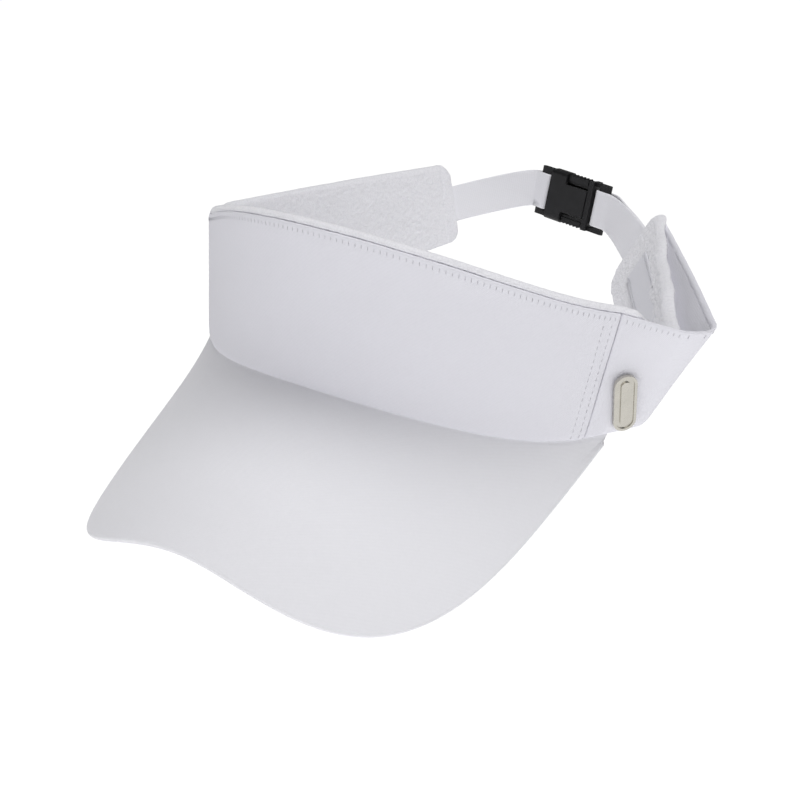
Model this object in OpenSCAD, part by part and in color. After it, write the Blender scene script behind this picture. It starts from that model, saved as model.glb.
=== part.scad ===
// Sun visor: a folded fabric band with a stiff curved brim, a terry sweatband
// and a rear strap closed by a small side-release buckle.
// +Z is up, the brim points along -Y and the wearer's left is +X.
// The origin is the middle of the head opening, level with the top edge at the front.

/* [Band] */
// Distance from the origin forward to the front of the band's bottom edge
band_front = 95; // [90:1:100]
// Bottom edge length of the flat middle of the front panel, each side of the centre
front_mid = 43; // [38:1:48]
// Turn of that middle stretch, in degrees
front_mid_turn = 27; // [22:1:32]
// Bottom edge length from the middle stretch to the side seam
front_wing = 54; // [48:1:58]
// Turn of the wing stretch, in degrees
front_wing_turn = 25; // [20:1:30]
// Length of each side panel's bottom edge behind the seam
side_length = 126; // [116:1:134]
// Distance from the left seam to the left temple fold
left_fold_from_seam = 20.5; // [16:0.5:30]
// Turn at the left temple fold, in degrees
left_fold_turn = 64; // [56:1:76]
// Turn at the right temple fold, in degrees
right_fold_turn = 60; // [50:1:64]
// Height of the band at the front centre
height_front = 60.5; // [56:0.5:66]
// Height of the band at the side seams
height_seam = 48.5; // [44:0.5:52]
// Height of the band at the left temple fold
height_fold = 40; // [36:1:44]
// Height of the band at its rear ends
height_end = 30; // [26:1:34]
// How far the top edge falls from the front centre to the left seam
top_dip_left = 15.5; // [12:0.5:20]
// How far the top edge falls from the front centre to the right seam
top_dip_right = 17.5; // [14:0.5:20]
// How far the top edge falls further from the left seam to the left fold
top_dip_fold = 4; // [0:0.5:6]
// How much deeper than a plain curve the top edge sags between the centre and the seams
top_sag = 12; // [6:1:14]
// Outward lean at the front centre, in degrees
flare_front = 14; // [12:1:18]
// Outward lean at the right seam, in degrees
flare_right = 5; // [3:1:14]
// Outward lean at the left seam, in degrees
flare_left = 11; // [8:1:20]
// Outward lean at the left temple fold, in degrees
flare_fold = 24.5; // [16:0.5:26]
// Outward lean at the rear ends, in degrees
flare_end = 26; // [18:1:28]
// Radius of the corners at the rear ends
end_r = 5; // [3:0.5:7]

/* [Fabric layers] */
// Thickness of the twill panels
twill_t = 1.0; // [0.8:0.1:1.1]
// Thickness of the stiffening interlining
lining_t = 0.4; // [0.3:0.05:0.5]
// Thickness of the terry sweatband
terry_t = 2.2; // [1.8:0.1:2.6]
// Width of the seam allowances that are turned inside
allowance = 6; // [4:0.5:7]
// How far the rolled left end of the sweatband stands off its panel
roll_off = 4; // [3:0.5:6]
// Height of that rolled end, as a share of the band's height
roll_v = 0.75; // [0.6:0.05:0.9]

/* [Brim] */
// Length of the brim ahead of the band
brim_length = 74; // [60:1:78]
// Half width of the brim
brim_half_w = 81; // [76:1:84]
// Squareness of the brim's outline
brim_square = 2.6; // [2.2:0.1:4]
// Fall of the brim per unit of length forward
brim_slope = 0.52; // [0.46:0.02:0.65]
// Thickness of the stiffening board
board_t = 1.6; // [1.2:0.1:1.8]
// Thickness of each fabric cover on the board
cover_t = 0.45; // [0.35:0.05:0.5]

/* [Straps] */
// Width of the webbing
web_w = 16; // [15:0.5:16]
// Thickness of the webbing
web_t = 1.1; // [0.9:0.1:1.2]
// Length of the free tail behind the right strap
tail_length = 24; // [16:1:28]

/* [Buckle] */
// Overall length of the closed buckle
buckle_l = 40; // [38:1:42]
// Width of the buckle across the strap
buckle_w = 22; // [21:0.5:23]
// Thickness of the buckle
buckle_t = 7; // [6.5:0.1:7.5]
// Wall of the socket's two face plates
plate_t = 1.4; // [1.2:0.1:1.6]
// Diameter of the two strap bars
bar_d = 2.6; // [2.2:0.1:2.8]

/* [Badge and label] */
// Length of the metal badge
badge_l = 24; // [18:1:26]
// Width of the metal badge
badge_w = 8.5; // [6:0.5:10]
// Lean of the badge from upright, in degrees
badge_lean = 12; // [0:1:25]
// Length of the blank label along the sweatband
label_l = 52; // [40:1:60]
// Width of the blank label
label_w = 13; // [10:1:14]

/* [Hidden] */

fold_len = 6;
seam_d = front_mid + front_wing;
end_d = seam_d + side_length;
left_fold_d = seam_d + left_fold_from_seam;
right_fold_d = seam_d;
fold_t = (left_fold_from_seam + fold_len / 2) / side_length;

left_chain = [
    [front_mid, front_mid_turn],
    [front_wing, front_wing_turn],
    [left_fold_from_seam, 4],
    [fold_len, left_fold_turn],
    [end_d - left_fold_d - fold_len, 3]
];
right_chain = [
    [front_mid, front_mid_turn],
    [front_wing, front_wing_turn],
    [fold_len, right_fold_turn],
    [end_d - right_fold_d - fold_len, 2]
];

// Layers of the band, as distances outward from its bottom edge curve
o_terry_in = -0.1 - terry_t;
o_terry_out = -0.1;
o_flange_under = [0.02, 0.34];
o_flange_top = [0.40, 0.70];
o_lining = [0.78, 0.78 + lining_t];
o_shell_in = 1.4;
o_shell_out = o_shell_in + twill_t;
o_allow_in = 0.5;
o_web = 0.08 + web_t / 2;
thread_gap = 0.08;
thread_t = 0.36;
tack_gap = 0.12;
tack_t = 0.5;

// Brim layers, as distances above the board's middle
t_board = board_t / 2;
t_cover_in = t_board + 0.05;
t_cover_out = t_cover_in + cover_t;
brim_left_d = seam_d + 10;
brim_right_d = seam_d + 5;
brim_drop = 1.35;
brim_arch = 0.0079;
brim_lift = 8.8;
brim_cone = 0.266;
brim_ref = 80;
brim_flange = 7;
rim_gap = 0.03;
rim_out = 0.75;
rim_in = 0.2;
phi_end = 88.8;
// How the outline closes on the tips: its power sideways, then its power and share upward
tip_in_power = 9;
tip_up_power = 15;
tip_up = 0.9;
phi_steps = 24;
brim_rows = 8;

// ---- geometry of the band -------------------------------------------------

function unit(v) = v / norm(v);
function smooth(t) = t * t * (3 - 2 * t);
function clamp01(t) = min(1, max(0, t));
function mix(a, b, t) = a + (b - a) * t;

// A point and heading after d along a stretch that turns by a degrees
function along(p, h, d, a) =
    abs(a) < 0.01 ? p + d * [cos(h), sin(h)]
    : let (r = d / (a * PI / 180)) p + r * [sin(h + a) - sin(h), cos(h) - cos(h + a)];

function walk(chain, d, p, h, i = 0) =
    let (l = chain[i][0], a = chain[i][1])
    (i == len(chain) - 1 || d <= l)
        ? [along(p, h, d, a * d / l), h + a * d / l]
        : walk(chain, d - l, along(p, h, l, a), h + a, i + 1);

// s is the signed distance along the bottom edge from the front centre, + to the left
function side_of(s) = s < 0 ? -1 : 1;
function edge(s) = walk(s < 0 ? right_chain : left_chain, abs(s), [0, -band_front], 0);

function front_t(s) = clamp01(abs(s) / seam_d);
function rear_t(s) = clamp01((abs(s) - seam_d) / (end_d - seam_d));

// A value along a side panel; on the left it passes through its own value at the fold
function rear_mix(s, seam, fold, end) =
    let (t = rear_t(s))
    s < 0 ? mix(seam, end, t)
    : t < fold_t ? mix(seam, fold, t / fold_t)
    : mix(fold, end, (t - fold_t) / (1 - fold_t));

function band_h(s) =
    abs(s) <= seam_d ? mix(height_front, height_seam, pow(front_t(s), 2))
    : rear_mix(s, height_seam, height_fold, height_end);
function top_z(s) =
    let (f = front_t(s), dip = s < 0 ? top_dip_right : top_dip_left)
    abs(s) <= seam_d ? -dip * f * f - top_sag * f * f * (1 - f * f)
    : rear_mix(s, -dip, -dip - top_dip_fold, 0);
function flare(s) =
    let (at_seam = s < 0 ? flare_right : flare_left)
    abs(s) <= seam_d ? mix(flare_front, at_seam, smooth(front_t(s)))
    : rear_mix(s, at_seam, flare_fold, flare_end);

// A point of the band: v is 0 at the bottom edge and 1 at the top, o is outward
function band_pt(s, v, o) =
    let (
        e = edge(s),
        h = band_h(s),
        g = side_of(s),
        n = [sin(e[1]) * g, -cos(e[1])],
        r = h * v * tan(flare(s)) + o
    )
    [g * e[0].x + n.x * r, e[0].y + n.y * r, top_z(s) - h * (1 - v)];

// The terry spans the temple folds instead of following them
function slack(s) =
    let (
        mid = s < 0 ? right_fold_d + 6 : left_fold_d + 8,
        reach = s < 0 ? 34 : 30,
        most = s < 0 ? 5 : 12,
        q = clamp01(1 - pow((abs(s) - mid) / reach, 2))
    )
    most * q * q;
// How far the left end of the sweatband is rolled down, 0 to 1
function roll(s) =
    smooth(clamp01((s - seam_d - 4) / (left_fold_from_seam + 4)))
    * clamp01((end_d - 6 - s) / (side_length - 38));
function terry_top(s) = mix(1 + 0.8 / band_h(s), roll_v, roll(s));
function terry_pt(s, v, o) =
    let (a = slack(s), in = roll_off * roll(s) * v / roll_v)
    (band_pt(s - a, v, o - in) + band_pt(s + a, v, o - in)) / 2;

function spans(a, b, n) = [for (i = [0 : n - 1]) a + (b - a) * i / n];
end_steps = [for (a = [0 : 18 : 90]) end_d - end_r * (1 - sin(a))];
// How far a rounded corner cuts in at s, for a layer that ends at d from the front centre
function corner(s, d) =
    let (k = max(0, end_r - (d - abs(s))))
    end_r - sqrt(max(0, end_r * end_r - k * k));
left_stations = concat(
    spans(0, seam_d, 18),
    spans(seam_d, left_fold_d, 12),
    spans(left_fold_d, left_fold_d + fold_len, 6),
    spans(left_fold_d + fold_len, end_d - end_r, 22),
    end_steps
);
right_stations = concat(
    spans(0, seam_d, 18),
    spans(seam_d, seam_d + fold_len, 6),
    spans(seam_d + fold_len, end_d - end_r, 27),
    end_steps
);
stations = concat(
    [for (i = [len(right_stations) - 1 : -1 : 1]) -right_stations[i]],
    left_stations
);
function between(a, b) = concat([a], [for (s = stations) if (s > a + 0.4 && s < b - 0.4) s], [b]);

// ---- closed solids from rings of points -------------------------------------

function centre(r) = [for (k = [0 : 2]) let (c = [for (p = r) p[k]]) c * [for (p = r) 1] / len(r)];
function ring_turn(r, t) =
    let (c = centre(r), k = len(r), area = [for (i = [0 : k - 1]) cross(r[i] - c, r[(i + 1) % k] - c) * t])
    area * [for (a = area) 1];

// Rings of equal length, each read as one row there and another row back.
// The two rows share the same diagonals, so layers that lie on each other fit.
module loft(rings) {
    k = len(rings[0]);
    n = len(rings);
    mid = floor(n / 2);
    back = ring_turn(rings[mid], centre(rings[mid + 1 < n ? mid + 1 : mid]) -
        centre(rings[mid + 1 < n ? mid : mid - 1])) < 0;
    sides = [
        for (j = [0 : n - 2], i = [0 : k - 1])
            let (a = j * k + i, b = j * k + (i + 1) % k, c = b + k, d = a + k)
                each i < k / 2 ? [[a, d, c], [a, c, b]] : [[a, d, b], [d, c, b]]
    ];
    caps = [
        for (i = [0 : k / 2 - 2])
            let (a = i, b = i + 1, c = k - 2 - i, d = k - 1 - i, e = (n - 1) * k)
                each [[a, b, c], [a, c, d], [e + c, e + b, e + a], [e + d, e + c, e + a]]
    ];
    faces = concat(sides, caps);
    polyhedron(
        points = [for (r = rings) each r],
        faces = back ? [for (f = faces) [f[2], f[1], f[0]]] : faces,
        convexity = 10
    );
}

// A layer of the band from a to b along the edge, lo above the bottom and hi below the top
module band_layer(a, b, lo, hi, o_in, o_out) {
    loft([
        for (s = between(a, b))
            let (h = band_h(s), c = corner(s, end_d), v0 = max(lo, c) / h, v1 = 1 - max(hi, c) / h)
                [band_pt(s, v0, o_in), band_pt(s, v1, o_in), band_pt(s, v1, o_out), band_pt(s, v0, o_out)]
    ]);
}

// A panel of twill with its ends turned in
module panel(a, b, turn_a, turn_b) {
    band_layer(a, b, 0, 0, o_shell_in, o_shell_out);
    if (turn_a) turned_end(a, a + allowance);
    if (turn_b) turned_end(b, b - allowance);
}

// The allowance lies behind the panel and a short lip joins the two at the seam
module turned_end(s_edge, s_in) {
    g = side_of(s_in - s_edge);
    start = s_edge + g * 0.12;
    lip = s_edge + g * 0.8;
    band_layer(min(start, s_in), max(start, s_in), 8, 4, o_allow_in, o_shell_in - 0.35);
    band_layer(
        min(s_edge + g * 0.2, lip), max(s_edge + g * 0.2, lip),
        8.4, 4.4, o_allow_in + 0.1, o_shell_in + 0.4
    );
}

// ---- fabric -----------------------------------------------------------------

seam_gap = 0.15;

module front_panel() {
    color("white")
        panel(-seam_d + seam_gap, seam_d - seam_gap, true, true);
}

module left_side_panel() {
    color("white")
        difference() {
            panel(seam_d + seam_gap, end_d, true, false);
            on_badge() badge_prongs(0.25, 4);
        }
}

module right_side_panel() {
    color("white")
        panel(-end_d, -seam_d - seam_gap, false, true);
}

module front_interlining() {
    edge_in = seam_d - allowance - 1;
    color("gainsboro")
        band_layer(-edge_in, edge_in, 8, 2, o_lining[0], o_lining[1]);
}

module left_interlining() {
    color("gainsboro")
        difference() {
            band_layer(seam_d + allowance + 1, end_d - 18, 8, 2, o_lining[0], o_lining[1]);
            on_badge() badge_prongs(0.25, 4);
        }
}

module right_interlining() {
    color("gainsboro")
        band_layer(-end_d + 18, -seam_d - allowance - 1, 8, 2, o_lining[0], o_lining[1]);
}

module sweatband() {
    color("whitesmoke")
        loft([
            for (s = between(-end_d + 1, end_d - 1))
                let (h = band_h(s), c = corner(s, end_d - 1) / h, v0 = 1.5 / h + c, v1 = terry_top(s) - c)
                    [
                        terry_pt(s, v0, o_terry_in), terry_pt(s, v1, o_terry_in),
                        terry_pt(s, v1, o_terry_out), terry_pt(s, v0, o_terry_out)
                    ]
        ]);
}

// A sewn line along the band, at a height above the bottom edge or below the top
module thread_line(a, b, below_top) {
    loft([
        for (s = between(a, b))
            let (h = band_h(s), v0 = 1 - (below_top + 0.25) / h, v1 = 1 - (below_top - 0.25) / h)
                [
                    band_pt(s, v0, o_shell_out + thread_gap), band_pt(s, v1, o_shell_out + thread_gap),
                    band_pt(s, v1, o_shell_out + thread_t), band_pt(s, v0, o_shell_out + thread_t)
                ]
    ]);
}

module top_edge_thread() {
    color("lavender") {
        thread_line(-end_d + end_r, -seam_d - 1, 3);
        thread_line(-seam_d + 1, seam_d - 8, 3);
        thread_line(seam_d + 1, end_d - end_r, 3);
    }
}

// Two sewn lines up a seam
module seam_thread(side) {
    color("lavender")
        for (back = [2.6, 5.6])
            band_layer(
                side * (seam_d - back) - 0.25, side * (seam_d - back) + 0.25,
                1, 4, o_shell_out + thread_gap, o_shell_out + thread_t
            );
}

module left_seam_thread() seam_thread(1);
module right_seam_thread() seam_thread(-1);

// ---- brim ---------------------------------------------------------------------

// The outline leaves the band's edge at both ends and is a rounded rectangle between
function brim_end_d(side) = side < 0 ? brim_right_d : brim_left_d;
function brim_s(phi) = brim_end_d(side_of(phi)) * phi / phi_end;
function brim_inner(phi) = band_pt(brim_s(phi), 0, 0) - [0, 0, brim_drop];
// How much stronger the arch is at y than beside the band
function brim_bow(y) = 1 - brim_cone * (y + band_front) / brim_ref;
function brim_z(x, y) =
    brim_inner(0).z + brim_slope * (y + band_front) - brim_arch * x * x * brim_bow(y)
    + brim_lift * pow(x / brim_ref, 4);
function brim_outer(phi) =
    let (
        g = side_of(phi),
        tip = brim_inner(g * phi_end),
        c = abs(cos(phi)),
        q = abs(sin(phi)),
        r = pow(pow(c, brim_square) + pow(q, brim_square), -1 / brim_square),
        w = abs(phi) / phi_end,
        x = mix(g * brim_half_w * r * q, tip.x, pow(w, tip_in_power)),
        y = mix(tip.y, -band_front - brim_length, r * c),
        rise = tip_up * (tip.z - brim_z(tip.x, tip.y)) * pow(w, tip_up_power)
    )
    [x, y, brim_z(x, y) + rise];
function brim_up(x, y) =
    unit([
        2 * brim_arch * x * brim_bow(y) - 4 * brim_lift * pow(x, 3) / pow(brim_ref, 4),
        -brim_slope - brim_arch * x * x * brim_cone / brim_ref,
        1
    ]);
// A point of the brim: w runs from o inside the band's edge to the outline, t is its height
function brim_pt(phi, w, o, t) =
    let (a = brim_inner(phi), b = brim_outer(phi), p = mix(a, b, mix(o / norm(b - a), 1, w)))
    p + brim_up(p.x, p.y) * t;
// A point e beyond the outline
function rim_pt(phi, e, t) =
    let (
        p = brim_outer(phi),
        d = brim_outer(phi + 0.3) - brim_outer(phi - 0.3),
        q = [p.x, p.y] + e * unit([d.y, -d.x])
    )
    [q.x, q.y, p.z + brim_z(q.x, q.y) - brim_z(p.x, p.y)] + brim_up(q.x, q.y) * t;

// A layer of the brim between two heights
module brim_layer(o, t0, t1) {
    n = brim_rows;
    loft([
        for (i = [-phi_steps : phi_steps])
            let (phi = phi_end * i / phi_steps)
                concat(
                    [for (j = [0 : n]) brim_pt(phi, j / n, o, t0)],
                    [for (j = [n : -1 : 0]) brim_pt(phi, j / n, o, t1)]
                )
    ]);
}

// A cover: its allowance sewn up inside the band, the sheet on one side of the board,
// and its edge turned over the rim; side is 1 above the board and -1 under it.
// The sheet starts o_mid inside the band's edge at the centre and o_tip at the tips.
module brim_cover(side, o_mid, o_tip, o_flange) {
    n = brim_rows;
    loft([
        for (i = [-phi_steps : phi_steps])
            let (
                phi = phi_end * i / phi_steps,
                s = brim_s(phi),
                v = brim_flange / band_h(s),
                o = mix(o_mid, o_tip, pow(phi / phi_end, 2))
            )
                concat(
                    [band_pt(s, v, side > 0 ? o_flange[1] : o_flange[0])],
                    [for (j = [0 : n]) brim_pt(phi, j / n, o, side * t_cover_out)],
                    [rim_pt(phi, rim_out, side * t_cover_out)],
                    [rim_pt(phi, rim_out, side * rim_gap)],
                    [rim_pt(phi, rim_in, side * rim_gap)],
                    [rim_pt(phi, rim_in, side * t_cover_in)],
                    [for (j = [n : -1 : 0]) brim_pt(phi, j / n, o, side * t_cover_in)],
                    [band_pt(s, v, side > 0 ? o_flange[0] : o_flange[1])]
                )
    ]);
}

module brim_board() {
    color("silver")
        brim_layer(0.9, -t_board, t_board);
}

module brim_top_cover() {
    color("white")
        brim_cover(1, 0.04, 0.04, o_flange_top);
}

module brim_under_cover() {
    color("white")
        brim_cover(-1, 0.4, 0.85, o_flange_under);
}

// ---- buckle frame -------------------------------------------------------------

buckle_at = [6.2, 87, -4.6];
buckle_turn = [0, 3, -15];
// Each strap bar is flat: the webbing turns round its inner edge and passes over it
bar_flat = 3.6;
bar_out_x = buckle_l / 2 - bar_d / 2;
bar_x = bar_out_x - bar_flat;
// Ends of the body, with a slot for the webbing between each and its bar
body_x = 12.2;
// The socket's mouth, where the plug's base meets it
mouth_x = 9.4;
sleeve_x = -3.2;

module on_buckle() {
    translate(buckle_at)
        rotate(buckle_turn)
            children();
}

function turn_y(p, a) = [p.x * cos(a) + p.z * sin(a), p.y, -p.x * sin(a) + p.z * cos(a)];
function turn_z(p, a) = [p.x * cos(a) - p.y * sin(a), p.x * sin(a) + p.y * cos(a), p.z];
function buckle_dir(p) = turn_z(turn_y(p, buckle_turn.y), buckle_turn.z);
function buckle_pt(p) = buckle_at + buckle_dir(p);

// ---- straps ---------------------------------------------------------------------

web_gap = 0.15;
// How far the webbing runs on straight from its panel, and towards the bar
strap_lead = 8;
bar_lead = 6;
turn_r = bar_d / 2 + web_gap + web_t / 2;
// Steps of the strap inside its panel, from its sewn end outward
tab_steps = [14, 10.5, 7, 3.5];

function strap_mid(s) = band_pt(s, 0.5, o_web);
function panel_out(side) = unit(strap_mid(side * end_d) - strap_mid(side * (end_d - 2)));
function panel_up(side, back) =
    let (s = side * (end_d - back)) unit(band_pt(s, 1, 0) - band_pt(s, 0, 0));

// Cubic curve from the panel's end to the strap bar
function strap_curve(side, t) =
    let (
        a = strap_mid(side * end_d),
        d = buckle_pt([side * (bar_out_x + 1.5), -turn_r, 0]),
        b = a + panel_out(side) * strap_lead,
        c = d + buckle_dir([side, 0, 0]) * bar_lead
    )
    a * pow(1 - t, 3) + 3 * b * t * pow(1 - t, 2) + 3 * c * t * t * (1 - t) + d * pow(t, 3);

// Outward direction across the strap at t
function strap_tangent(side, t) = unit(strap_curve(side, t + 0.01) - strap_curve(side, t - 0.01));
function strap_up(side, t) = unit(mix(panel_up(side, 0), buckle_dir([0, 0, 1]), smooth(clamp01(t))));
function strap_out(side, t) = unit(cross(strap_up(side, t), strap_tangent(side, t))) * -side;

curve_steps = 12;
turn_steps = 8;

// Places of the returning layer along the strap, from the bar to its cut end at back_t
function back_steps(back_t) = concat(
    [for (i = [curve_steps : -1 : 0]) if (i / curve_steps > back_t + 0.02) i / curve_steps],
    [back_t]
);
// Distance between the strap and its returning layer
function strap_spread(t) = mix(web_t + 0.2, 2 * turn_r, smooth(clamp01((t - 0.55) / 0.45)));

// Run from inside the panel to the bar, round it, and back along the outer side
function strap_path(side, back_t) = concat(
    [for (k = tab_steps) strap_mid(side * (end_d - k))],
    [for (i = [0 : curve_steps]) strap_curve(side, i / curve_steps)],
    [
        for (i = [0 : turn_steps])
            let (a = -90 + 180 * i / turn_steps)
                buckle_pt([side * (bar_x - turn_r * cos(a)), turn_r * sin(a), 0])
    ],
    [for (t = back_steps(back_t)) strap_curve(side, t) + strap_out(side, t) * strap_spread(t)]
);

// The direction of the strap's width at point i of that run
function strap_up_at(side, i) =
    let (k = i - len(tab_steps), back = k - curve_steps - turn_steps - 2)
    k < 0 ? panel_up(side, tab_steps[i])
    : k <= curve_steps ? strap_up(side, k / curve_steps)
    : back < 0 ? buckle_dir([0, 0, 1])
    : strap_up(side, 1 - back / curve_steps);

module webbing(side, back_t) {
    path = strap_path(side, back_t);
    n = len(path);
    loft([
        for (i = [0 : n - 1])
            let (
                t = unit(path[min(i + 1, n - 1)] - path[max(i - 1, 0)]),
                u = strap_up_at(side, i),
                w = unit(u - t * (t * u)) * web_w / 2,
                o = unit(cross(w, t)) * web_t / 2
            )
                [path[i] - w - o, path[i] + w - o, path[i] + w + o, path[i] - w + o]
    ]);
}

module left_strap() {
    color("white")
        webbing(1, 0.09);
}

module right_strap() {
    color("white")
        webbing(-1, 1 - tail_length / norm(strap_curve(-1, 1) - strap_curve(-1, 0)));
}

// Dense bar of stitches that holds a strap's end in its panel
module strap_tack(side) {
    color("lavender")
        for (d = [4, 11])
            band_layer(
                min(side * (end_d - d), side * (end_d - d - 1.6)),
                max(side * (end_d - d), side * (end_d - d - 1.6)),
                7, 7, o_shell_out + tack_gap, o_shell_out + tack_t
            );
}

module left_strap_tack() strap_tack(1);
module right_strap_tack() strap_tack(-1);

// ---- buckle pieces ----------------------------------------------------------------

half_w = buckle_w / 2;
half_t = buckle_t / 2;
rail_w = 1.8;
wall = 1.5;
channel_z = 6.3;
arm_root = [10.5, 8.0];
arm_t = 3.4;

module box(x0, x1, y0, y1, z0, z1) {
    translate([x0, y0, z0])
        cube([x1 - x0, y1 - y0, z1 - z0]);
}

// Two rails and the flat bar that the webbing turns round, at one end of the buckle
module strap_end(side) {
    a = side * (body_x - 0.5);
    b = side * bar_x;
    for (g = [-1, 1])
        box(
            min(a, b), max(a, b), -bar_d / 2, bar_d / 2,
            g > 0 ? half_w - rail_w : -half_w, g > 0 ? half_w : -half_w + rail_w
        );
    translate([0, 0, -half_w])
        linear_extrude(buckle_w)
            hull() {
                translate([side * bar_x, 0])
                    circle(d = bar_d, $fn = 48);
                translate([side * bar_out_x, 0])
                    circle(d = bar_d, $fn = 48);
            }
}

// Outline of the socket's sleeve, seen from its mouth
module sleeve_outline(grow) {
    w = half_w + 0.4 + grow - 2;
    t = half_t + grow - 2;
    square([2 * w, 2 * (t + 2)], center = true);
    square([2 * (w + 2), 2 * t], center = true);
    for (a = [-1, 1], b = [-1, 1])
        translate([a * w, b * t])
            circle(r = 2, $fn = 40);
}

module buckle_socket() {
    color([0.13, 0.13, 0.14])
        on_buckle()
            difference() {
                union() {
                    translate([-body_x, 0, 0])
                        rotate([90, 0, 90])
                            linear_extrude(sleeve_x + body_x)
                                rotate(90)
                                    sleeve_outline(0);
                    box(sleeve_x - 1, mouth_x, -half_t, half_t, -channel_z, channel_z);
                    strap_end(-1);
                }
                // the channel for the plug's tongue and arms
                box(
                    -body_x + wall, mouth_x + 1, -half_t + plate_t, half_t - plate_t,
                    -half_w + wall - 0.4, half_w - wall + 0.4
                );
            }
}

module buckle_plug() {
    color([0.13, 0.13, 0.14])
        on_buckle()
            difference() {
                union() {
                    box(mouth_x + 0.25, body_x, -half_t + 0.3, half_t - 0.3, -half_w, half_w);
                    box(-9.4, mouth_x + 1, -1.7, 1.7, -3.1, 3.1);
                    strap_end(1);
                }
                for (g = [-1, 1]) {
                    // round seats for the roots of the arms, open towards the socket
                    translate([arm_root.x, 0, g * arm_root.y])
                        rotate([90, 0, 0])
                            cylinder(r = 1.3, h = arm_t + 0.3, center = true, $fn = 40);
                    box(
                        mouth_x, arm_root.x, -arm_t / 2 - 0.15, arm_t / 2 + 0.15,
                        g * arm_root.y - 1.2, g * arm_root.y + 1.2
                    );
                }
            }
}

// Spring arm with its ribbed press pad; side is 1 for the upper and -1 for the lower
module release_arm(side) {
    color([0.16, 0.16, 0.17])
        on_buckle()
            mirror([0, 0, side < 0 ? 1 : 0]) {
                translate([arm_root.x, 0, arm_root.y])
                    rotate([90, 0, 0])
                        cylinder(r = 1.2, h = arm_t, center = true, $fn = 40);
                box(sleeve_x, arm_root.x, -arm_t / 2, arm_t / 2, 7.2, 8.8);
                // press pad
                box(-2.6, 8.3, -arm_t / 2 - 0.5, arm_t / 2 + 0.5, 8.4, 10.7);
                for (x = [-1.1 : 2 : 7])
                    translate([x, 0, 10.7])
                        rotate([90, 0, 0])
                            cylinder(r = 0.45, h = arm_t + 1, center = true, $fn = 24);
                // tip inside the sleeve
                box(-9, sleeve_x + 0.5, -arm_t / 2, arm_t / 2, 7.2, 9.6);
            }
}

module upper_release_arm() release_arm(1);
module lower_release_arm() release_arm(-1);

// ---- badge and label -----------------------------------------------------------------

badge_d = 10;
badge_v = 0.3;
badge_t = 1.3;
badge_gap = 0.6;
plate_in = 2.25;
prong_r = 0.6;
prong_y = badge_l / 2 - 6;

// Puts its children on the left side panel: X along the band, Y up it and Z outward
module on_badge() {
    s = seam_d + badge_d;
    p = band_pt(s, badge_v, o_shell_out);
    x = unit(band_pt(s + 1, badge_v, o_shell_out) - p);
    up = band_pt(s, badge_v + 0.1, o_shell_out) - p;
    y = unit(up - x * (x * up));
    z = cross(x, y);
    multmatrix([
        [x.x, y.x, z.x, p.x],
        [x.y, y.y, z.y, p.y],
        [x.z, y.z, z.z, p.z],
        [0, 0, 0, 1]
    ])
        rotate(badge_lean)
            children();
}

module pill(l, w, h) {
    linear_extrude(h) {
        square([w, l - w], center = true);
        for (g = [-1, 1])
            translate([0, g * (l - w) / 2])
                circle(d = w, $fn = 48);
    }
}

module badge_prongs(grow, h) {
    for (g = [-1, 1])
        translate([0, g * prong_y, -h])
            cylinder(r = prong_r + grow, h = h + 1, $fn = 32);
}

module badge() {
    color("silver")
        on_badge() {
            translate([0, 0, badge_gap])
                difference() {
                    pill(badge_l, badge_w, badge_t);
                    translate([0, 0, badge_t - 0.4])
                        pill(badge_l - 2, badge_w - 2, 1);
                }
            translate([0, 0, badge_gap + badge_t - 0.5])
                pill(badge_l - 5, badge_w - 5, 0.6);
            badge_prongs(0, plate_in);
        }
}

module badge_backplate() {
    color("silver")
        on_badge()
            difference() {
                translate([0, 0, -plate_in])
                    pill(badge_l - 7, 3.6, 0.3);
                badge_prongs(0.1, 4);
            }
}

label_end = end_d - 20;

module on_terry(a, b, v0, v1, o_in, o_out) {
    loft([
        for (s = between(a, b))
            [terry_pt(s, v0, o_in), terry_pt(s, v1, o_in), terry_pt(s, v1, o_out), terry_pt(s, v0, o_out)]
    ]);
}

label_v = [0.36, 0.36 + label_w / 34];

module blank_label() {
    color("ghostwhite")
        on_terry(
            label_end - label_l, label_end, label_v[0], label_v[1],
            o_terry_in - 0.6, o_terry_in - 0.15
        );
}

module label_thread() {
    o_in = o_terry_in - 0.95;
    o_out = o_terry_in - 0.66;
    color("lavender")
        for (g = [label_v[0] + 0.05, label_v[1] - 0.05])
            on_terry(label_end - label_l + 1, label_end - 1, g - 0.008, g + 0.008, o_in, o_out);
}

front_panel();
left_side_panel();
right_side_panel();
front_interlining();
left_interlining();
right_interlining();
sweatband();
top_edge_thread();
left_seam_thread();
right_seam_thread();
brim_board();
brim_top_cover();
brim_under_cover();
left_strap();
right_strap();
left_strap_tack();
right_strap_tack();
buckle_socket();
buckle_plug();
upper_release_arm();
lower_release_arm();
badge();
badge_backplate();
blank_label();
label_thread();
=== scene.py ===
"""Sun visor: cloth, stitching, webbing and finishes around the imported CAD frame."""
import math
import bpy
import numpy as np
from mathutils import Matrix, Vector


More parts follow.
